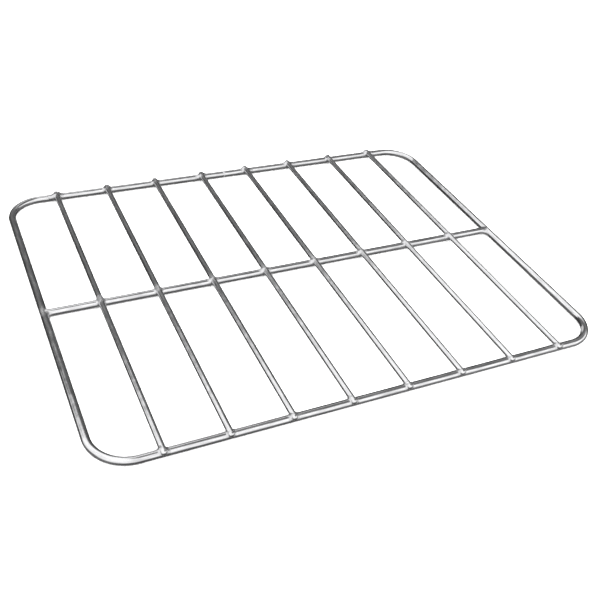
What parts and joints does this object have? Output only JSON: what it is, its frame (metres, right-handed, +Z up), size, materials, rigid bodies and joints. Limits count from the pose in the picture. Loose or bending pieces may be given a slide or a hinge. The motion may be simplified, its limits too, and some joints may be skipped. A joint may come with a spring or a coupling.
{
  "type": "cooling rack",
  "caption": "Flat wire cooling rack: a rounded rectangular rim of thick wire, a thick crossbar at mid-depth and a deck of thinner parallel wires welded on top.",
  "frame": {"origin": "on the surface the rack stands on, under the middle of the rack", "axes": "+X along the rack's length and its crossbar, +Y along the deck wires towards the back run of the rim, which has the seam, +Z up, the side that goods lie on"},
  "size_m": [0.452, 0.358, 0.0085],
  "materials": {
    "bright_steel": "bright polished wire with fine drawing lines along it",
    "weld_steel": "as-welded, slightly duller than the wire, under the same bright finish"
  },
  "bodies": {
    "root": {"rim_wire": "bright_steel", "crossbar": "bright_steel", "deck_wire_1": "bright_steel", "deck_wire_2": "bright_steel", "deck_wire_3": "bright_steel", "deck_wire_4": "bright_steel", "deck_wire_5": "bright_steel", "deck_wire_6": "bright_steel", "deck_wire_7": "bright_steel", "deck_wire_8": "bright_steel", "weld_back_1": "weld_steel", "weld_back_2": "weld_steel", "weld_back_3": "weld_steel", "weld_back_4": "weld_steel", "weld_back_5": "weld_steel", "weld_back_6": "weld_steel", "weld_back_7": "weld_steel", "weld_back_8": "weld_steel", "weld_bar_1": "weld_steel", "weld_bar_2": "weld_steel", "weld_bar_3": "weld_steel", "weld_bar_4": "weld_steel", "weld_bar_5": "weld_steel", "weld_bar_6": "weld_steel", "weld_bar_7": "weld_steel", "weld_bar_8": "weld_steel", "weld_front_1": "weld_steel", "weld_front_2": "weld_steel", "weld_front_3": "weld_steel", "weld_front_4": "weld_steel", "weld_front_5": "weld_steel", "weld_front_6": "weld_steel", "weld_front_7": "weld_steel", "weld_front_8": "weld_steel", "weld_crossbar_left": "weld_steel", "weld_crossbar_right": "weld_steel", "weld_rim_seam": "weld_steel"}
  },
  "joints": []
}
